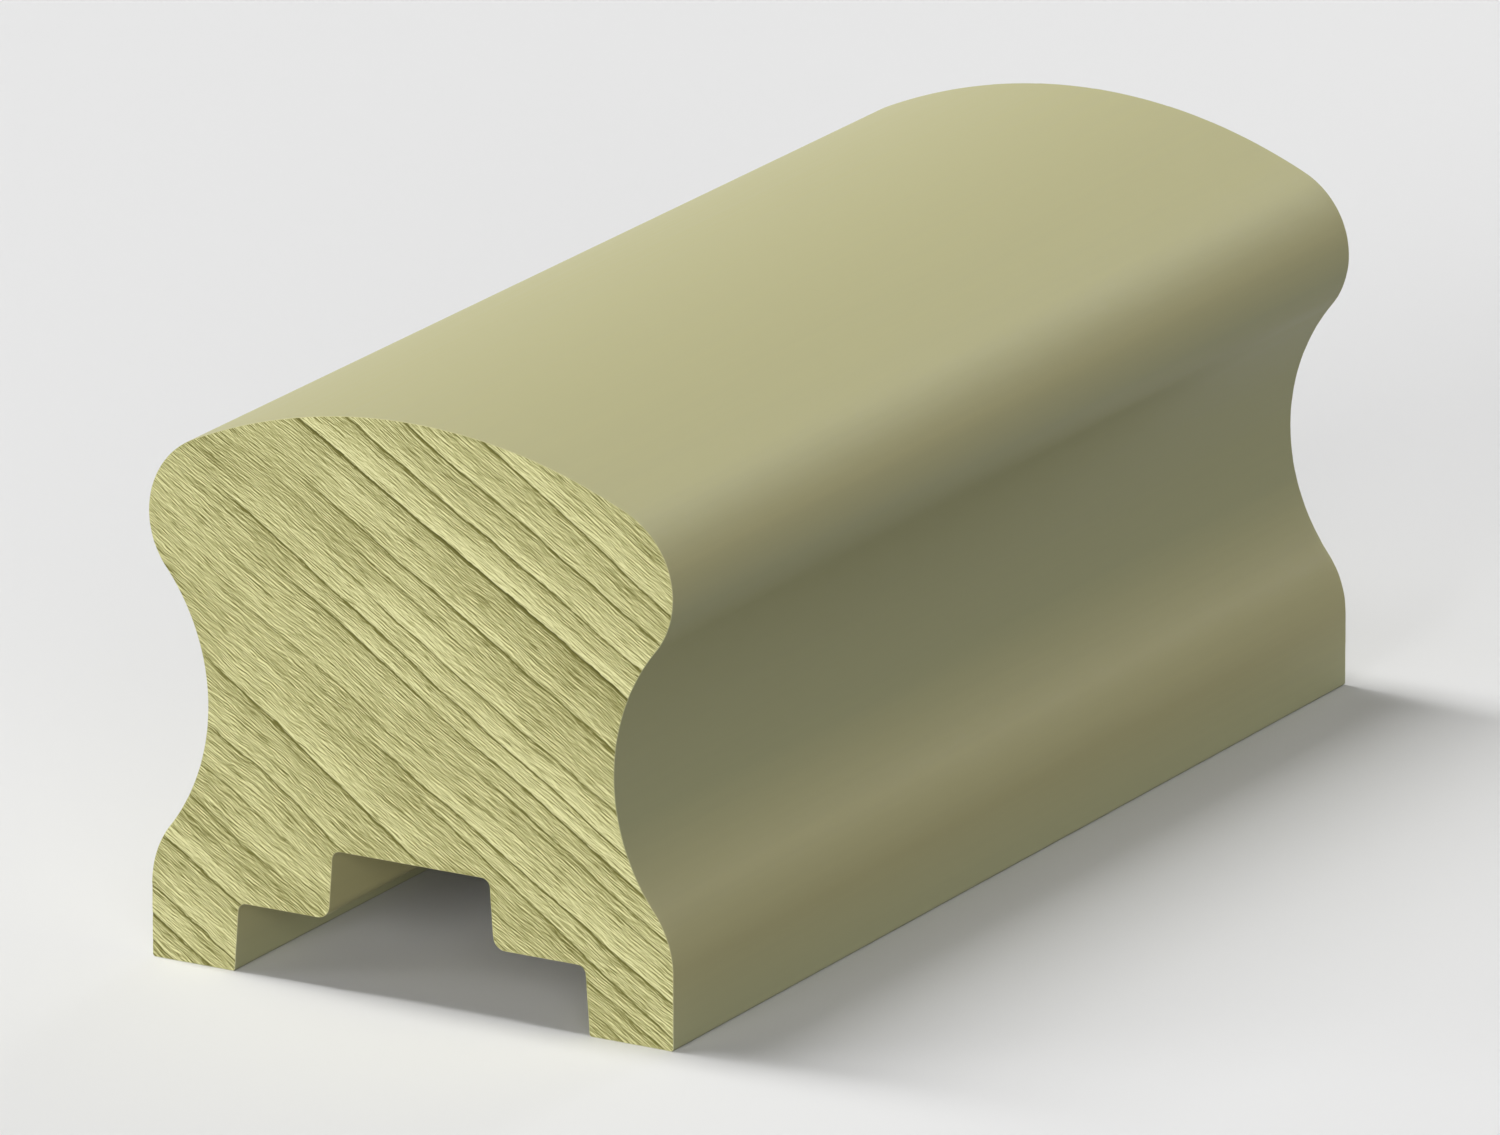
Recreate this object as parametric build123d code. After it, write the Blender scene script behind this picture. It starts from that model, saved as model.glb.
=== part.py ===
from build123d import *
import math
import os

# A short length of moulded timber handrail, machined from one piece of wood.
# X runs across the section, Y along the grain and Z up. The origin is on the
# floor, under the middle of the piece. All lengths are in millimetres.

# The stock
rail_length = 150.0
section_width = 65.0
section_height = 65.0

# The moulded outline, the same on both sides
crown_radius = 64.0
nose_radius = 9.7
cove_depth = 7.25
shoulder_radius = 11.0
foot_land = 8.4

# What the underside takes, and the clearance left on each side of it
baluster_width = 42.0
baluster_clearance = 0.6
infill_thickness = 19.0
infill_clearance = 0.25

# The two-step rebate, cut with one pair of tapered cutters
baluster_rebate_depth = 7.8
infill_groove_depth = 7.8
wall_draft_angle = 4.0
inner_corner_radius = 1.0
lip_radius = 1.5


def toward(start, goal, distance):
    """The point that lies the distance from start, on the line to goal."""
    return start + (goal - start).normalized() * distance


def outline_circles():
    """Centres of the four circles that make one side of the moulded outline.

    The nose touches the crown from inside and the cove from outside. The
    shoulder rises from the top of the foot's flat land and runs into the cove.
    Nose and foot stand out equally far, so the cove's radius follows from its
    depth and from the height between the nose and the shoulder.
    """
    half_width = section_width / 2
    crown = Vector(0, section_height - crown_radius)
    nose_x = half_width - nose_radius
    nose_rise = math.sqrt((crown_radius - nose_radius) ** 2 - nose_x**2)
    nose = Vector(nose_x, crown.Y + nose_rise)
    shoulder = Vector(half_width - shoulder_radius, foot_land)
    height = nose.Y - shoulder.Y
    drop = height / 2 + cove_depth * (nose_radius - shoulder_radius) / height
    cove_radius = (drop**2 / cove_depth + cove_depth) / 2 - nose_radius
    cove = Vector(half_width - cove_depth + cove_radius, nose.Y - drop)
    return crown, nose, cove, shoulder


def moulded_outline():
    """The outside of the section: feet, shoulders, coves, noses and crown."""
    crown, nose, cove, shoulder = outline_circles()
    half_width = section_width / 2
    with BuildSketch() as sketch:
        with BuildLine():
            foot = Line((half_width, 0), (half_width, foot_land))
            shoulder_end = toward(shoulder, cove, shoulder_radius)
            shoulder_arc = TangentArc(foot @ 1, shoulder_end, tangent=foot % 1)
            cove_end = toward(nose, cove, nose_radius)
            cove_arc = TangentArc(shoulder_end, cove_end, tangent=shoulder_arc % 1)
            nose_end = toward(crown, nose, crown_radius)
            TangentArc(cove_end, nose_end, tangent=cove_arc % 1)
            mirror(about=Plane.YZ)
            ThreePointArc(nose_end, (0, section_height), (-nose_end.X, nose_end.Y))
            Line((-half_width, 0), (half_width, 0))
        make_face()
    return sketch.sketch


def rebate_outline():
    """The stepped rebate: a wide seat for balusters, with a narrow groove in it.

    Both steps are widest at their mouth, by the draft of the cutter.
    """
    draft = math.tan(math.radians(wall_draft_angle))
    groove_top = baluster_rebate_depth + infill_groove_depth
    seat_half = baluster_width / 2 + baluster_clearance
    mouth_half = seat_half + baluster_rebate_depth * draft
    groove_half = infill_thickness / 2 + infill_clearance
    lip_half = groove_half + infill_groove_depth * draft
    right_side = [
        (groove_half, groove_top),
        (lip_half, baluster_rebate_depth),
        (seat_half, baluster_rebate_depth),
        (mouth_half, 0),
    ]
    left_side = [(-x, z) for x, z in reversed(right_side)]
    radii = [inner_corner_radius, lip_radius, inner_corner_radius]
    with BuildSketch() as sketch:
        with BuildLine():
            FilletPolyline(*left_side, *right_side, radius=radii + radii[::-1])
            Line((mouth_half, 0), (-mouth_half, 0))
        make_face()
    return sketch.sketch


def handrail():
    """The whole piece: the section run along the grain, sawn square at both ends."""
    section = moulded_outline() - rebate_outline()
    return extrude(Plane.XZ * section, amount=rail_length / 2, both=True)


os.makedirs("parts", exist_ok=True)
export_step(handrail(), "parts/handrail.step")
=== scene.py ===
import math

import bpy
import numpy as np
from mathutils import Matrix, Vector
from mathutils.geometry import delaunay_2d_cdt


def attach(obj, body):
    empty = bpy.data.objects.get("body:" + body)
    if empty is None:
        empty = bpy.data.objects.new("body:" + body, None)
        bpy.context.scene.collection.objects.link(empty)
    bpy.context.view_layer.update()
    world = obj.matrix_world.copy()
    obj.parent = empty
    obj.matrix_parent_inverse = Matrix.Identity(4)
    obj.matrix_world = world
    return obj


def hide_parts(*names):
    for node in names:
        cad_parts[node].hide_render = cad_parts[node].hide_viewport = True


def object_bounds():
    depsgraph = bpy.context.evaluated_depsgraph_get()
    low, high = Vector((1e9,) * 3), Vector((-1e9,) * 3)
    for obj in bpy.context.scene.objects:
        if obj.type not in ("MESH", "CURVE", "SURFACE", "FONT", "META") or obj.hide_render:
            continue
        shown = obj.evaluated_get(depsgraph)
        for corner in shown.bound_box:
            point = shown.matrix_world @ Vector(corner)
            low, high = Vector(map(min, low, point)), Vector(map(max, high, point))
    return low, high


bl_info = {
    "name": "Timber Handrail",
    "version": (1, 0, 0),
    "blender": (4, 5, 0),
    "location": "3D View > Sidebar > Handrail",
    "description": "Makes a short length of moulded timber handrail with sawn end grain",
    "category": "Add Mesh",
}

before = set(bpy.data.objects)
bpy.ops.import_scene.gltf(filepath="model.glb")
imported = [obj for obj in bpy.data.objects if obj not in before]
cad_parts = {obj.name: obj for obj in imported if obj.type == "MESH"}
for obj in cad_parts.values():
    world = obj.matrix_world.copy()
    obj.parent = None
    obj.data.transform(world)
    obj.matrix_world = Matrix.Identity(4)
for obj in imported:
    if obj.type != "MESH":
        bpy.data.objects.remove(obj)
cad_low, cad_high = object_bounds()

PIECE = "moulded_handrail"

# What the material of the sawn ends reads at each point of the mesh; the tone holds the
# grain with painted light and shade of its relief
TONE = "grain_and_shade_tone"
PLACE = "grain_place"
WEIGHT = "ring_weight"


def linear(red, green, blue):
    """A colour picked on screen, from 0 to 255, as Blender's linear colour."""

    def channel(value):
        part = value / 255
        if part <= 0.04045:
            return part / 12.92
        return ((part + 0.055) / 1.055) ** 2.4

    return tuple(channel(value) for value in (red, green, blue))


def length(name, default, description):
    return bpy.props.FloatProperty(
        name=name, default=default, description=description, unit="LENGTH", precision=5
    )


def amount(name, default, description):
    return bpy.props.FloatProperty(name=name, default=default, description=description)


def angle(name, degrees, description):
    return bpy.props.FloatProperty(
        name=name, default=math.radians(degrees), description=description, subtype="ANGLE"
    )


def colour(name, default, description):
    return bpy.props.FloatVectorProperty(
        name=name, default=default, description=description, subtype="COLOR", min=0, max=1
    )


class HandrailSizes(bpy.types.PropertyGroup):
    """The moulded section and the length of the piece."""

    width: length("Width", cad_high.x - cad_low.x, "Across the feet and the noses")
    height: length("Height", cad_high.z - cad_low.z, "From the feet to the crown")
    run: length("Length", cad_high.y - cad_low.y, "Along the grain, end to end")
    crown_radius: length("Crown radius", 0.064, "Radius of the rounded top")
    nose_radius: length("Nose radius", 0.0097, "Radius of the overhanging edges")
    cove_depth: length("Cove depth", 0.00725, "How far the sides draw in at the waist")
    shoulder_radius: length("Shoulder radius", 0.011, "Radius above the feet")
    foot_land: length("Foot land", 0.0084, "Flat height of the feet's outer sides")
    seat_width: length("Seat width", 0.0432, "Width of the wide rebate at its floor")
    seat_depth: length("Seat depth", 0.0078, "Depth of the wide rebate")
    groove_width: length("Groove width", 0.0195, "Width of the narrow groove at its floor")
    groove_depth: length("Groove depth", 0.0078, "Depth of the groove beyond the seat")
    draft: angle("Wall draft", 4, "Slope of the rebate's walls")
    corner_radius: length("Inner corner radius", 0.001, "In the corners of both rebates")
    lip_radius: length("Lip radius", 0.0015, "On the lips between the seat and the groove")
    foot_edge: length("Foot edge", 0.0003, "Radius of the feet's long edges")
    arris: length("Arris", 0.00005, "Easing round the sawn ends")


class GrainLook(bpy.types.PropertyGroup):
    """The relief and the colours of the timber, some of which hold painted light and shade."""

    slope: angle("Ring slope", -32, "Slope of the growth rings on the sawn ends")
    relief: length("Relief", 0.00019, "Depth of the grain that stands open on the ends")
    streaks: amount("Streaks", 0.015, "How much the grain shows on the moulded faces")
    # The band colours hold painted light and shade as well as the timber's own hues: the feet,
    # shoulders and noses are made lighter and the coves darker
    foot: colour("Foot", linear(201, 201, 157), "Moulded faces at the feet")
    tan: colour("Tan band", linear(195, 189, 140), "On the shoulders and the noses")
    olive_and_shade: colour("Olive band", linear(173, 172, 130), "In the coves")
    crown: colour("Crown", linear(180, 176, 130), "Moulded face of the crown")
    early: colour("Early wood", linear(226, 223, 168), "Pale start of each growth ring")
    body: colour("Body wood", linear(177, 174, 118), "Middle of the growth rings")
    late: colour("Late wood", linear(112, 109, 54), "Dark line that ends each growth ring")


class StageLook(bpy.types.PropertyGroup):
    """The floor, the even light from all round and the camera."""

    floor: colour("Floor", linear(232, 232, 232), "Colour of the floor and the backdrop")
    bounce: colour("Floor bounce", (0.25, 0.25, 0.25), "What the floor throws back up")
    sky: amount("Sky", 0.08, "Strength of the even light from all round")
    azimuth: angle("Camera azimuth", 30.05, "Turn of the camera about the upright axis")
    elevation: angle("Camera elevation", 17.2, "Height of the camera above the horizon")
    distance: length("Camera distance", 2.209, "From the camera to the point it aims at")
    lens: amount("Lens", 495, "Focal length in millimetres")
    aim: bpy.props.FloatVectorProperty(
        name="Aim",
        default=(0.02452, -0.04485, 0.04465),
        description="The point in the middle of the picture",
        subtype="TRANSLATION",
        unit="LENGTH",
    )


# The outline of the section


def arc(centre, radius, start, end, spacing):
    """Points along an arc from the start angle, without the one at the end angle."""
    count = max(2, math.ceil(abs(end - start) * radius / spacing))
    turn = np.linspace(start, end, count, endpoint=False)
    return np.column_stack((centre[0] + radius * np.cos(turn), centre[1] + radius * np.sin(turn)))


def straight(start, end, spacing):
    """Points along a line from its start, without the one at its end."""
    start, end = np.array(start), np.array(end)
    count = max(1, math.ceil(np.linalg.norm(end - start) / spacing))
    return start + np.linspace(0, 1, count, endpoint=False)[:, None] * (end - start)


def direction(start, end):
    return math.atan2(end[1] - start[1], end[0] - start[0])


def moulded_side(sizes, spacing):
    """The right side from the top of the crown down to the top of the foot's land."""
    half = sizes.width / 2
    crown = (0, sizes.height - sizes.crown_radius)
    nose_x = half - sizes.nose_radius
    nose_rise = math.sqrt((sizes.crown_radius - sizes.nose_radius) ** 2 - nose_x**2)
    nose = (nose_x, crown[1] + nose_rise)
    shoulder = (half - sizes.shoulder_radius, sizes.foot_land)
    gap = nose[1] - shoulder[1]
    drop = gap / 2 + sizes.cove_depth * (sizes.nose_radius - sizes.shoulder_radius) / gap
    cove_radius = (drop**2 / sizes.cove_depth + sizes.cove_depth) / 2 - sizes.nose_radius
    cove = (half - sizes.cove_depth + cove_radius, nose[1] - drop)
    to_cove = direction(nose, cove)
    to_shoulder = direction(cove, shoulder) + 2 * math.pi
    return np.concatenate(
        (
            arc(crown, sizes.crown_radius, math.pi / 2, direction(crown, nose), spacing),
            arc(nose, sizes.nose_radius, direction(crown, nose), to_cove, spacing),
            arc(cove, cove_radius, to_cove + math.pi, to_shoulder, spacing),
            arc(shoulder, sizes.shoulder_radius, to_shoulder - math.pi, 0, spacing),
        )
    )


def rounded_line(corners, radii, spacing):
    """A line through the corners, with an arc of its own radius in each but the ends."""
    corners = [np.array(corner) for corner in corners]
    runs = []
    start = corners[0]
    for before, corner, after, radius in zip(corners, corners[1:], corners[2:], radii):
        back = (before - corner) / np.linalg.norm(before - corner)
        ahead = (after - corner) / np.linalg.norm(after - corner)
        half_angle = math.acos(np.clip(back @ ahead, -1, 1)) / 2
        inward = (back + ahead) / np.linalg.norm(back + ahead)
        centre = corner + inward * radius / math.sin(half_angle)
        first = corner + back * radius / math.tan(half_angle)
        last = corner + ahead * radius / math.tan(half_angle)
        turn = (direction(centre, last) - direction(centre, first) + math.pi) % math.tau - math.pi
        begin = direction(centre, first)
        runs.append(straight(start, first, spacing))
        runs.append(arc(centre, radius, begin, begin + turn, min(spacing, radius / 3)))
        start = last
    runs.append(straight(start, corners[-1], spacing))
    return np.concatenate(runs)


def underside(sizes, spacing):
    """The right half of the foot and the stepped rebate, in to the middle."""
    draft = math.tan(sizes.draft)
    half = sizes.width / 2
    seat = sizes.seat_width / 2
    groove = sizes.groove_width / 2
    top = sizes.seat_depth + sizes.groove_depth
    corners = [
        (half, sizes.foot_land),
        (half, 0),
        (seat + sizes.seat_depth * draft, 0),
        (seat, sizes.seat_depth),
        (groove + sizes.groove_depth * draft, sizes.seat_depth),
        (groove, top),
        (0, top),
    ]
    radii = [
        sizes.foot_edge,
        sizes.foot_edge,
        sizes.corner_radius,
        sizes.lip_radius,
        sizes.corner_radius,
    ]
    return rounded_line(corners, radii, spacing)


def outline(sizes, spacing):
    """The whole section as a closed loop of points (x, z), the right side first."""
    top = sizes.seat_depth + sizes.groove_depth
    right = np.concatenate((moulded_side(sizes, spacing), underside(sizes, spacing), [(0, top)]))
    left = right[-2:0:-1] * (-1, 1)
    return np.concatenate((right, left))


def drawn_in(loop, distance):
    """The loop moved inwards by the distance, corner by corner."""
    ahead = np.roll(loop, -1, axis=0) - loop
    ahead /= np.linalg.norm(ahead, axis=1)[:, None]
    behind = np.roll(ahead, 1, axis=0)
    inward = np.column_stack((ahead[:, 1] + behind[:, 1], -ahead[:, 0] - behind[:, 0]))
    inward /= np.linalg.norm(inward, axis=1)[:, None]
    stretch = np.sum(inward * np.column_stack((ahead[:, 1], -ahead[:, 0])), axis=1)
    return loop + inward * (distance / stretch)[:, None]


# The growth rings and fibres on the sawn ends

# The dark line that ends each ring, in millimetres from the floor under the middle of the
# section: its place across the rings, its slope against them, where it starts and ends
# along them, and how strongly it shows
RINGS = (
    (58.2, -0.05, -34, 8, 0.8),
    (54.6, -0.01, -40, 8, 0.9),
    (50.6, 0.0, -46, 8, 0.9),
    (46.7, 0.0, -50, 10, 1.4),
    (43.9, -0.01, -34, -12, 0.2),
    (40.8, -0.01, -42, 10, 0.7),
    (38.4, -0.01, -46, -18, 0.3),
    (35.1, -0.01, -30, 12, 0.6),
    (32, -0.03, -50, 14, 0.8),
    (29.7, -0.02, -40, 19, 0.7),
    (27.3, -0.02, -12, 24, 0.5),
    (25.8, -0.02, 10, 26, 0.4),
    (24, -0.01, -44, -14, 0.3),
    (21.7, -0.01, -22, 28, 0.8),
    (19.7, -0.06, -14, 30, 0.7),
    (17.2, -0.03, 10, 30, 0.5),
    (13.8, -0.06, -42, -4, 1),
    (13.6, -0.15, -10, 9, 0.5),
    (8.7, -0.03, -40, -12, 0.8),
    (4.4, -0.03, -38, -16, 0.3),
    (0.6, -0.03, -38, -16, 0.4),
    (-5.5, -0.03, -38, -16, 0.9),
    (-11.2, -0.03, -36, -14, 0.7),
    (-13.9, -0.03, -36, -14, 0.7),
    (-16.4, -0.03, -36, -14, 0.4),
)

# How long a ring takes to set in and to end, how far its pale upper side and its dark
# lower side reach, and how wide its line is, in millimetres
SETTING_IN = 6
PALE_REACH = 1.7
DARK_REACH = 0.9
LINE_WIDTH = 0.15

# What a ring adds to the tone above and below its line, which is partly the wood's own
# paleness and darkness and partly painted light on the raised upper side and painted
# shade on the lower side, what the line takes from the tone, how far the ring's upper side
# stands up and how far its line lies back
PALE_TONE = 0.40
DARK_TONE = -0.14
LINE_TONE = 0.85
SIDE_RISE = 0.5
LINE_FALL = 0.5

# How much a ring's strength varies along it, and over how many millimetres
VARIATION = 0.40
VARIED_OVER = 7

# The fibres between the rings: their width and length in millimetres, and how high they
# stand
FIBRES = (
    (1.8, 16.0, 0.08),
    (0.9, 12.0, 0.09),
    (0.45, 9.0, 0.08),
    (0.26, 5.0, 0.08),
    (0.22, 2.0, 0.08),
)

# How far rings and fibres wander, over what width and length, and how much farther where
# the grain has crumbled, in millimetres
WANDERING = (
    (0.35, 9, 14, 0),
    (0.12, 3, 4, 0),
    (0.04, 0.8, 1.4, 0.10),
)

# Where the grain has crumbled: below one place and left of another, and the stretch over
# which it sets in at each, in millimetres
CRUMBLED_BELOW = 26
CRUMBLED_LEFT = -8
SETS_IN_BELOW = 8
SETS_IN_LEFT = 12

# The tone of plain wood, how much the slope of the fibres takes from it as painted light
# and shade, darker where they rise and lighter where they fall, and what the fibres
# themselves and broad patches add to it
PLAIN_TONE = 0.55
PAINTED_SLOPE_SHADE = 0.22
FIBRE_TONE = 0.2
PATCH_TONE = 0.11

# The size of the broad patches, in millimetres
PATCH_WIDTH = 4
PATCH_LENGTH = 18

# How far apart the mesh has its points along the outline, its rows on a sawn end and the
# points of each row, in metres, and how many rows the moulded faces have
OUTLINE_SPACING = 0.0003
ROW_SPACING = 0.00011
POINT_SPACING = 0.00072
MOULDED_ROWS = 9

# The side of the piece that each sawn end is on, and the seed of its grain
ENDS = (
    (-1, 40),
    (1, 140),
)


def smooth_noise(across, along, seed):
    """Random values from -1 to 1 that change smoothly over each unit of both."""
    side = 512
    table = np.random.default_rng(seed).uniform(-1, 1, (side, side))
    row, column = np.floor(across).astype(int), np.floor(along).astype(int)
    down, right = across - row, along - column
    down = down * down * (3 - 2 * down)
    right = right * right * (3 - 2 * right)
    corners = [table[(row + i) % side, (column + j) % side] for i in (0, 1) for j in (0, 1)]
    upper = corners[0] * (1 - right) + corners[1] * right
    lower = corners[2] * (1 - right) + corners[3] * right
    return upper * (1 - down) + lower * down


def eased(value):
    """From 0 to 1 with soft ends, as the value goes from 0 to 1."""
    value = np.clip(value, 0, 1)
    return value * value * (3 - 2 * value)


def wandered(across, along, seed):
    """The place across the rings, shifted so that rings and fibres wander."""
    below = eased((CRUMBLED_BELOW - across) / SETS_IN_BELOW)
    crumbled = below * eased((CRUMBLED_LEFT - along) / SETS_IN_LEFT)
    wave = np.zeros_like(across)
    for number, (swing, width, reach, farther) in enumerate(WANDERING):
        noise = smooth_noise(across / width, along / reach, seed + number)
        wave += (swing + farther * crumbled) * noise
    return across + wave


def ring_pattern(across, along, seed):
    """The rings' relief and tone at each place, the tone with painted light on each ring's raised
    upper side and painted shade below it, and the weight of the nearest ring.
    """
    height = np.zeros_like(across)
    tone = np.zeros_like(across)
    nearest = np.full_like(across, np.inf)
    nearest_weight = np.zeros_like(across)
    for number, (place, slope, start, end, strength) in enumerate(RINGS):
        past = across - place - slope * along
        shown = eased((along - start) / SETTING_IN) * eased((end - along) / SETTING_IN)
        own_row = np.full_like(along, number + 0.5)
        varied = 1 + VARIATION * smooth_noise(along / VARIED_OVER, own_row, seed + 3)
        weight = strength * shown * varied
        closer = np.abs(past) < nearest
        nearest = np.where(closer, np.abs(past), nearest)
        nearest_weight = np.where(closer, weight, nearest_weight)
        above = past > 0
        fading = np.exp(-np.abs(past) / np.where(above, PALE_REACH, DARK_REACH))
        line = np.exp(-((past / LINE_WIDTH) ** 2))
        height += weight * np.where(above, SIDE_RISE * fading, 0) - LINE_FALL * weight * line
        # Paler above the line and darker below it: partly the wood's own tone, partly painted
        # light and shade of the ring's relief
        tone += weight * (np.where(above, PALE_TONE, DARK_TONE) * fading - LINE_TONE * line)
    return height, tone, nearest_weight


def fibre_height(across, along, seed):
    """How high the fibres stand at each place."""
    height = np.zeros_like(across)
    for number, (width, reach, strength) in enumerate(FIBRES):
        height += strength * smooth_noise(across / width, along / reach, seed + 10 + number)
    return height


def ring_axes(slope):
    """The directions (x, z) along the rings and across them."""
    along_ring = np.array((math.cos(slope), math.sin(slope)))
    return along_ring, np.array((-along_ring[1], along_ring[0]))


def grain(points, slope, seed):
    """The wood at points (x, z) in metres: its relief, its tone with painted light and shade
    of the rings' and fibres' relief, where each point lies along and across the rings in
    millimetres, and the weight of the nearest ring."""
    along_ring, across_ring = ring_axes(slope)
    along = points @ along_ring * 1000
    across = wandered(points @ across_ring * 1000, along, seed)
    height, tone, weight = ring_pattern(across, along, seed)
    lean = 0.06
    rise = fibre_height(across + lean, along, seed) - fibre_height(across - lean, along, seed)
    fibres = fibre_height(across, along, seed)
    patches = smooth_noise(across / PATCH_WIDTH, along / PATCH_LENGTH, seed + 30)
    # The slope of the fibres across the rings, painted as light and shade on their sides
    tone += PLAIN_TONE - rise / (2 * lean) * PAINTED_SLOPE_SHADE
    tone += FIBRE_TONE * fibres + PATCH_TONE * patches
    places = np.column_stack((along, np.full_like(along, seed), across))
    return height + fibres, tone, places, weight


def end_points(loop, slope, row, step):
    """Points inside the loop, in rows that follow the rings."""
    along_ring, across_ring = ring_axes(slope)
    along, across = loop @ along_ring, loop @ across_ring
    next_along, next_across = np.roll(along, -1), np.roll(across, -1)
    clear = step * 0.4
    inside = []
    for height in np.arange(across.min() + row, across.max(), row):
        crossed = (across > height) != (next_across > height)
        share = (height - across[crossed]) / (next_across[crossed] - across[crossed])
        cuts = np.sort(along[crossed] + share * (next_along[crossed] - along[crossed]))
        for left, right in zip(cuts[0::2], cuts[1::2]):
            first = math.ceil((left + clear) / step)
            last = math.floor((right - clear) / step)
            places = np.arange(first, last + 1) * step
            inside.append(places[:, None] * along_ring + height * across_ring)
    return np.concatenate(inside)


def end_faces(loop, slope, row, step):
    """The points of a sawn end, the loop's first, and its triangles.

    The triangles are found with the points turned level and squeezed along the rings,
    so that they lie evenly both ways.
    """
    points = np.concatenate((loop, end_points(loop, slope, row, step)))
    turn = Matrix.Rotation(-slope, 2)
    squeezed = []
    for point in points:
        turned = turn @ Vector(point)
        squeezed.append(Vector((turned.x * row / step * 1000, turned.y * 1000)))
    count = len(loop)
    rim = [(index, (index + 1) % count) for index in range(count)]
    inside_rim = 1
    tolerance = 1e-7
    made = delaunay_2d_cdt(squeezed, rim, [], inside_rim, tolerance)
    if len(made[0]) != len(points):
        raise RuntimeError("two points of the sawn end fell together")
    return points, np.array(made[2])


def sawn_end(points, side, seed, sizes, look):
    """A sawn end in relief: its points, the grain's tone, place and weight at each of
    them, and how deep each lies."""
    height, tone, place, weight = grain(points, look.slope, seed)
    low, high = height.min(), height.max()
    depth = (high - height) / (high - low) * look.relief
    sunk = np.column_stack((points[:, 0], side * (sizes.run / 2 - depth), points[:, 1]))
    return sunk, tone, place, weight, depth


def moulded_rows(loop, near_depth, far_depth, sizes):
    """The points of the moulded faces, in rows from the near end to the far one.

    The first row and the last keep the arris even, where the grain of their end is cut in.
    """
    rows = []
    for share in np.linspace(0, 1, MOULDED_ROWS):
        shift = near_depth * (share == 0) - far_depth * (share == 1)
        place = (2 * share - 1) * (sizes.run / 2 - sizes.arris) + shift
        rows.append(np.column_stack((loop[:, 0], place, loop[:, 1])))
    return rows


def mark_sharp(mesh, rings):
    """Mark the edges that run along a ring of points as sharp."""
    edges = np.empty(len(mesh.edges) * 2, dtype=np.int32)
    mesh.edges.foreach_get("vertices", edges)
    edges = edges.reshape(-1, 2)
    sharp = np.zeros(len(edges), dtype=bool)
    for ring in rings:
        member = np.zeros(len(mesh.vertices), dtype=bool)
        member[ring] = True
        sharp |= member[edges[:, 0]] & member[edges[:, 1]]
    mesh.attributes.new("sharp_edge", "BOOLEAN", "EDGE").data.foreach_set("value", sharp)


def handrail_mesh(sizes, look):
    """The whole piece as one closed mesh, with its sawn ends in relief."""
    loop = outline(sizes, OUTLINE_SPACING)
    count = len(loop)
    rim = drawn_in(loop, sizes.arris)
    points, triangles = end_faces(rim, look.slope, ROW_SPACING, POINT_SPACING)
    ends = [sawn_end(points, side, seed, sizes, look) for side, seed in ENDS]
    sunk, tones, places, weights, depths = zip(*ends)
    rows = moulded_rows(loop, depths[0][:count], depths[1][:count], sizes)
    far_start = len(points)
    rows_start = 2 * len(points)
    rows_count = len(rows) * count
    starts = [0, *range(rows_start, rows_start + rows_count, count), far_start]
    rings = [np.arange(start, start + count) for start in starts]
    faces = [*triangles.tolist(), *(triangles[:, ::-1] + far_start).tolist()]
    end_count = len(faces)
    for near, far in zip(rings, rings[1:]):
        quads = np.column_stack((near, np.roll(near, -1), np.roll(far, -1), far))
        faces.extend(quads.tolist())
    mesh = bpy.data.meshes.new(PIECE)
    mesh.from_pydata(np.concatenate((*sunk, *rows)), [], faces)
    stored = (
        (TONE, "FLOAT", "value", np.concatenate((*tones, np.full(rows_count, 0.5)))),
        (PLACE, "FLOAT_VECTOR", "vector", np.concatenate((*places, np.zeros((rows_count, 3))))),
        (WEIGHT, "FLOAT", "value", np.concatenate((*weights, np.zeros(rows_count)))),
    )
    for name, kind, field, values in stored:
        mesh.attributes.new(name, kind, "POINT").data.foreach_set(field, values.ravel())
    slots = np.zeros(len(faces), dtype=np.int32)
    slots[:end_count] = 1
    mesh.polygons.foreach_set("material_index", slots)
    mesh.polygons.foreach_set("use_smooth", [True] * len(faces))
    mark_sharp(mesh, (rings[0], rings[1], rings[-2], rings[-1]))
    mesh.validate()
    mesh.update()
    return mesh


# Materials


def new_material(name):
    """A material, with its node tree and its shader."""
    material = bpy.data.materials.new(name)
    material.use_nodes = True
    tree = material.node_tree
    shader = tree.nodes["Principled BSDF"]
    return material, tree, shader


def added(tree, first, second, factor):
    """A socket that holds first + second * factor."""
    total = tree.nodes.new("ShaderNodeMath")
    total.operation = "MULTIPLY_ADD"
    total.inputs[1].default_value = factor
    tree.links.new(second, total.inputs[0])
    tree.links.new(first, total.inputs[2])
    return total.outputs[0]


def combined(tree, operation, first, second):
    """A socket that holds what the operation makes of two values."""
    result = tree.nodes.new("ShaderNodeMath")
    result.operation = operation
    tree.links.new(first, result.inputs[0])
    tree.links.new(second, result.inputs[1])
    return result.outputs[0]


def remapped(tree, value, low, high, new_low, new_high):
    """A socket that goes from new_low to new_high as the value goes from low to high."""
    remap = tree.nodes.new("ShaderNodeMapRange")
    remap.inputs["From Min"].default_value = low
    remap.inputs["From Max"].default_value = high
    remap.inputs["To Min"].default_value = new_low
    remap.inputs["To Max"].default_value = new_high
    tree.links.new(value, remap.inputs["Value"])
    return remap.outputs["Result"]


def colour_ramp(tree, value, shades):
    """A socket that holds the colour at a value, from the shades at places from 0 to 1."""
    ramp = tree.nodes.new("ShaderNodeValToRGB")
    stops = ramp.color_ramp.elements
    while len(stops) < len(shades):
        stops.new(0.5)
    for stop, (place, shade) in zip(stops, shades):
        stop.position = place
        stop.color = (*shade, 1)
    tree.links.new(value, ramp.inputs["Fac"])
    return ramp.outputs["Color"]


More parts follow.
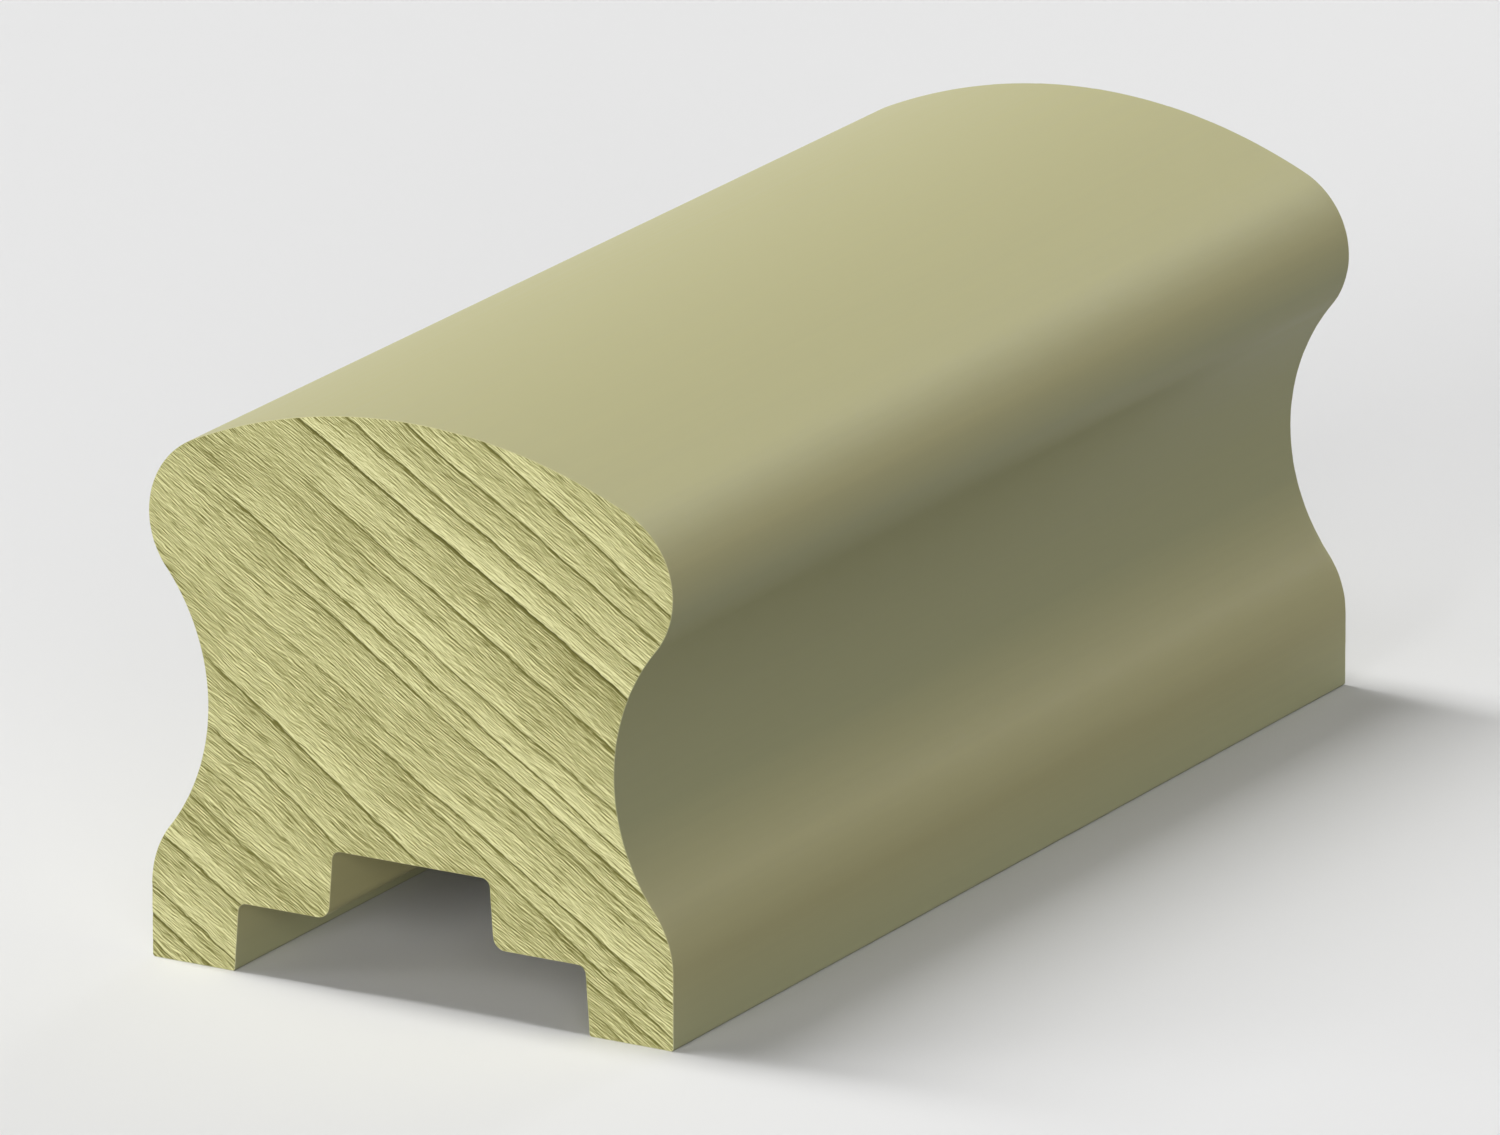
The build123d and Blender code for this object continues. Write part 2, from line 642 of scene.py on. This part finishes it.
# Where the colour of the moulded faces changes, from the feet up to the crown: height in
# millimetres, and the colour's name in GrainLook. The bands are partly the timber's own tan
# and olive hues and partly painted light and shade: lighter on the feet, shoulders and
# noses, darker in the coves under the noses.
BANDS = (
    (0, "foot"),
    (8.4, "tan"),
    (15, "tan"),
    (24, "olive_and_shade"),
    (48, "olive_and_shade"),
    (53.5, "tan"),
    (57.5, "crown"),
)

# How deep the grain lies where it is planed almost shut, and where the saw left it open,
# in metres
CLOSED_GRAIN = 0.00001
OPEN_GRAIN = 0.0001

# The streaks on the moulded faces, across and along the grain, in metres
STREAK_WIDTH = 0.0009
STREAK_LENGTH = 0.05


def colour_bands(tree, place, sizes, look):
    """The colour of the timber, in bands that run along the grain, with painted light on the
    feet, shoulders and noses and painted shade in the coves.
    """
    split = tree.nodes.new("ShaderNodeSeparateXYZ")
    tree.links.new(place, split.inputs[0])
    share = remapped(tree, split.outputs["Z"], low=0, high=sizes.height, new_low=0, new_high=1)
    top = sizes.height * 1000
    return colour_ramp(tree, share, [(level / top, getattr(look, band)) for level, band in BANDS])


def moulded_finish(sizes, look):
    """Planed and sanded timber with a satin coat, its grain almost closed."""
    material, tree, shader = new_material("moulded_timber")
    link = tree.links.new
    place = tree.nodes.new("ShaderNodeTexCoord").outputs["Object"]
    along_grain = tree.nodes.new("ShaderNodeMapping")
    along_grain.vector_type = "TEXTURE"
    along_grain.inputs["Scale"].default_value = (STREAK_WIDTH, STREAK_LENGTH, STREAK_WIDTH)
    noise = tree.nodes.new("ShaderNodeTexNoise")
    noise.inputs["Scale"].default_value = 1
    noise.inputs["Detail"].default_value = 4
    pores = noise.outputs["Fac"]
    darkest, palest = 1 - look.streaks, 1 + look.streaks
    streaks = remapped(tree, pores, low=0.3, high=0.7, new_low=darkest, new_high=palest)
    streaked = tree.nodes.new("ShaderNodeVectorMath")
    streaked.operation = "SCALE"
    bump = tree.nodes.new("ShaderNodeBump")
    bump.inputs["Distance"].default_value = CLOSED_GRAIN
    link(place, along_grain.inputs["Vector"])
    link(along_grain.outputs["Vector"], noise.inputs["Vector"])
    link(colour_bands(tree, place, sizes, look), streaked.inputs[0])
    link(streaks, streaked.inputs["Scale"])
    link(streaked.outputs[0], shader.inputs["Base Color"])
    satin = remapped(tree, pores, low=0, high=1, new_low=0.42, new_high=0.58)
    link(satin, shader.inputs["Roughness"])
    link(pores, bump.inputs["Height"])
    link(bump.outputs["Normal"], shader.inputs["Normal"])
    shader.inputs["Specular IOR Level"].default_value = 0.25
    return material


# The finest fibres: their length and width in millimetres, their share in the tone, as
# painted light and shade on their sides, and in the relief
FINE_FIBRES = (
    (5.0, 0.26, 0.7, 0.3),
    (2.4, 0.18, 1.6, 0.3),
    (1.1, 0.15, 1.8, 0.2),
    (0.5, 0.14, 0.7, 0.2),
)

# The pores, open as thin dark dashes: their length and width in millimetres, and how
# dark they are
PORES = (
    (2.6, 0.17, 0.45),
    (9.0, 0.24, 0.45),
)

# The crisp line at the end of each ring: how dark it is, and half its width in
# millimetres where it is thinnest and where it is widest, for a ring of weight 1
LINE_DARKNESS = 1.1
THINNEST_LINE = 0.03
WIDEST_LINE = 0.17

# How that line wobbles: the size of a wobble and how far it swings, in millimetres
WOBBLES = (
    (0.5, 0.22),
    (0.15, 0.12),
)


def from_mesh(tree, name, output):
    """A socket that holds what the mesh stores under the name."""
    stored = tree.nodes.new("ShaderNodeAttribute")
    stored.attribute_name = name
    return stored.outputs[output]


def stretched(tree, place, reach, width, shift):
    """The place in units of a fibre's length and width, shifted across by a share of it."""
    mapping = tree.nodes.new("ShaderNodeMapping")
    mapping.vector_type = "TEXTURE"
    mapping.inputs["Location"].default_value = (0, 0, -shift * width)
    mapping.inputs["Scale"].default_value = (reach, 1, width)
    tree.links.new(place, mapping.inputs["Vector"])
    return mapping.outputs["Vector"]


def fibre_noise(tree, place, reach, width, shift=0):
    """A socket with noise from 0 to 1, drawn out to a fibre's length and width."""
    noise = tree.nodes.new("ShaderNodeTexNoise")
    noise.inputs["Scale"].default_value = 1
    noise.inputs["Detail"].default_value = 1
    tree.links.new(stretched(tree, place, reach, width, shift), noise.inputs["Vector"])
    return noise.outputs["Fac"]


def ring_lines(tree, place):
    """A socket that is 1 inside the thin dark line that ends each ring."""
    split = tree.nodes.new("ShaderNodeSeparateXYZ")
    tree.links.new(place, split.inputs[0])
    wear = fibre_noise(tree, place, reach=1.2, width=0.8)
    torn = remapped(tree, wear, low=0.3, high=0.65, new_low=THINNEST_LINE, new_high=WIDEST_LINE)
    half_width = combined(tree, "MULTIPLY", from_mesh(tree, WEIGHT, "Fac"), torn)
    across = split.outputs["Z"]
    middle = 0
    for size, swing in WOBBLES:
        across = added(tree, across, fibre_noise(tree, place, size, size), swing)
        middle += swing / 2
    lines = None
    for ring_place, slope in (ring[:2] for ring in RINGS):
        inside = tree.nodes.new("ShaderNodeMath")
        inside.operation = "COMPARE"
        inside.inputs[1].default_value = ring_place + middle
        tree.links.new(added(tree, across, split.outputs["X"], -slope), inside.inputs[0])
        tree.links.new(half_width, inside.inputs[2])
        line = inside.outputs[0]
        lines = combined(tree, "MAXIMUM", lines, line) if lines else line
    return lines


def sawn_finish(look):
    """Sawn end grain: the rings' tone with its painted light and shade from the mesh, crisp
    lines, pores and fine fibres with painted light and shade on their sides.
    """
    material, tree, shader = new_material("sawn_end_grain")
    link = tree.links.new
    # The tone from the mesh: the rings and fibres, with painted light and shade of their relief
    rings = from_mesh(tree, TONE, "Fac")
    place = from_mesh(tree, PLACE, "Vector")
    tone = added(tree, rings, ring_lines(tree, place), -LINE_DARKNESS)
    for reach, width, darkness in PORES:
        noise = fibre_noise(tree, place, reach, width)
        pores = remapped(tree, noise, low=0.58, high=0.70, new_low=0, new_high=1)
        tone = added(tree, tone, pores, -darkness)
    level = rings
    for reach, width, painted_shade_share, level_share in FINE_FIBRES:
        # Each fibre's noise less the same noise shifted across: painted light on one side of the
        # fibre and painted shade on the other
        here = fibre_noise(tree, place, reach, width)
        beside = fibre_noise(tree, place, reach, width, shift=0.5)
        tone = added(tree, tone, here, painted_shade_share)
        tone = added(tree, tone, beside, -painted_shade_share)
        level = added(tree, level, here, level_share)
    shades = [(0, look.late), (0.5, look.body), (1, look.early)]
    bump = tree.nodes.new("ShaderNodeBump")
    bump.inputs["Distance"].default_value = OPEN_GRAIN
    link(colour_ramp(tree, tone, shades), shader.inputs["Base Color"])
    link(level, bump.inputs["Height"])
    link(bump.outputs["Normal"], shader.inputs["Normal"])
    shader.inputs["Roughness"].default_value = 0.75
    shader.inputs["Specular IOR Level"].default_value = 0.2
    return material


class HANDRAIL_OT_timber(bpy.types.Operator):
    """Make the moulded length of timber with its sawn ends"""

    bl_idname = "handrail.timber"
    bl_label = "Moulded timber"

    def execute(self, context):
        sizes = context.scene.handrail_sizes
        look = context.scene.handrail_grain
        mesh = handrail_mesh(sizes, look)
        mesh.materials.append(moulded_finish(sizes, look))
        mesh.materials.append(sawn_finish(look))
        piece = bpy.data.objects.new(PIECE, mesh)
        context.scene.collection.objects.link(piece)
        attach(piece, "root")
        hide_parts("handrail")
        return {"FINISHED"}


# The stage

# Name, azimuth and elevation of where the light comes from in degrees, the lamp's
# own width in degrees, and its strength
LAMPS = (
    ("strip_1", -90, 46, 10, 0.22),
    ("strip_2", -90, 54, 10, 0.32),
    ("strip_3", -90, 62, 10, 0.48),
    ("strip_4", -90, 70, 10, 0.54),
    ("strip_5", -90, 78, 10, 0.66),
    ("front", 0, 12, 24, 1.6),
    ("front_right", 35, 15, 30, 1.05),
    ("front_left", -60, 12, 24, 0.7),
    ("back", 180, 12, 24, 0.9),
)


def bearing(turn, rise):
    """The direction that lies so far round from the front and so far above level."""
    level = math.cos(rise)
    return Vector((math.sin(turn) * level, -math.cos(turn) * level, math.sin(rise)))


def add_lamp(name, azimuth, elevation, width, strength):
    """A soft lamp so far off that it lights the whole floor alike."""
    data = bpy.data.lights.new(name, "SUN")
    data.energy = strength
    data.angle = math.radians(width)
    lamp = bpy.data.objects.new(name, data)
    toward = bearing(math.radians(azimuth), math.radians(elevation))
    lamp.rotation_mode = "QUATERNION"
    lamp.rotation_quaternion = toward.to_track_quat("Z", "Y")
    lamp.location = toward
    bpy.context.scene.collection.objects.link(lamp)


def seen_directly(tree):
    """A socket that is 1 for rays from the camera, mirrored or bent ones too."""
    path = tree.nodes.new("ShaderNodeLightPath")
    value = path.outputs["Is Camera Ray"]
    for ray in ("Is Glossy Ray", "Is Transmission Ray"):
        value = combined(tree, "MAXIMUM", value, path.outputs[ray])
    return value


def add_floor(look):
    """A wide floor that shows pale and throws only part of its light back up."""
    reach = 60
    mesh = bpy.data.meshes.new("floor")
    corners = [(-reach, -reach, 0), (reach, -reach, 0), (reach, reach, 0), (-reach, reach, 0)]
    mesh.from_pydata(corners, [], [(0, 1, 2, 3)])
    material, tree, shader = new_material("floor_paint")
    mix = tree.nodes.new("ShaderNodeMix")
    mix.data_type = "RGBA"
    mix.inputs["A"].default_value = (*look.bounce, 1)
    mix.inputs["B"].default_value = (*look.floor, 1)
    tree.links.new(seen_directly(tree), mix.inputs["Factor"])
    tree.links.new(mix.outputs["Result"], shader.inputs["Base Color"])
    shader.inputs["Roughness"].default_value = 1
    shader.inputs["Specular IOR Level"].default_value = 0
    mesh.materials.append(material)
    floor = bpy.data.objects.new("floor", mesh)
    bpy.context.scene.collection.objects.link(floor)


def add_world(look):
    """Even light from all round, and the backdrop's colour where the camera looks."""
    world = bpy.data.worlds.new("studio")
    world.use_nodes = True
    tree = world.node_tree
    tree.nodes.clear()
    sky = tree.nodes.new("ShaderNodeBackground")
    sky.inputs["Strength"].default_value = look.sky
    backdrop = tree.nodes.new("ShaderNodeBackground")
    backdrop.inputs["Color"].default_value = (*look.floor, 1)
    mix = tree.nodes.new("ShaderNodeMixShader")
    output = tree.nodes.new("ShaderNodeOutputWorld")
    tree.links.new(seen_directly(tree), mix.inputs[0])
    tree.links.new(sky.outputs[0], mix.inputs[1])
    tree.links.new(backdrop.outputs[0], mix.inputs[2])
    tree.links.new(mix.outputs[0], output.inputs[0])
    bpy.context.scene.world = world


def add_camera(look):
    """The camera, aimed at the middle of the picture."""
    data = bpy.data.cameras.new("camera")
    data.lens = look.lens
    data.sensor_width = 36
    data.clip_end = 200
    camera = bpy.data.objects.new("camera", data)
    back = bearing(look.azimuth, look.elevation)
    camera.location = Vector(look.aim) + back * look.distance
    camera.rotation_mode = "QUATERNION"
    camera.rotation_quaternion = (-back).to_track_quat("-Z", "Y")
    bpy.context.scene.collection.objects.link(camera)
    bpy.context.scene.camera = camera


class HANDRAIL_OT_stage(bpy.types.Operator):
    """Lay the floor, hang the lamps and set up the camera"""

    bl_idname = "handrail.stage"
    bl_label = "Stage"

    def execute(self, context):
        look = context.scene.handrail_stage
        add_floor(look)
        for lamp in LAMPS:
            add_lamp(*lamp)
        add_world(look)
        add_camera(look)
        context.scene.view_settings.view_transform = "Standard"
        return {"FINISHED"}


class HANDRAIL_PT_sidebar(bpy.types.Panel):
    """Sizes, colours and pieces of the handrail"""

    bl_idname = "HANDRAIL_PT_sidebar"
    bl_label = "Timber Handrail"
    bl_space_type = "VIEW_3D"
    bl_region_type = "UI"
    bl_category = "Handrail"

    def draw(self, context):
        for name in ("handrail_sizes", "handrail_grain", "handrail_stage"):
            group = getattr(context.scene, name)
            box = self.layout.box()
            for field in group.__annotations__:
                box.prop(group, field)
        self.layout.operator(HANDRAIL_OT_timber.bl_idname)
        self.layout.operator(HANDRAIL_OT_stage.bl_idname)


CLASSES = (
    HandrailSizes,
    GrainLook,
    StageLook,
    HANDRAIL_OT_timber,
    HANDRAIL_OT_stage,
    HANDRAIL_PT_sidebar,
)


def register():
    for each in CLASSES:
        bpy.utils.register_class(each)
    scene = bpy.types.Scene
    scene.handrail_sizes = bpy.props.PointerProperty(type=HandrailSizes)
    scene.handrail_grain = bpy.props.PointerProperty(type=GrainLook)
    scene.handrail_stage = bpy.props.PointerProperty(type=StageLook)


def unregister():
    scene = bpy.types.Scene
    del scene.handrail_sizes
    del scene.handrail_grain
    del scene.handrail_stage
    for each in reversed(CLASSES):
        bpy.utils.unregister_class(each)


def main():
    register()
    bpy.ops.handrail.timber()
    bpy.ops.handrail.stage()


if __name__ == "__main__":
    main()
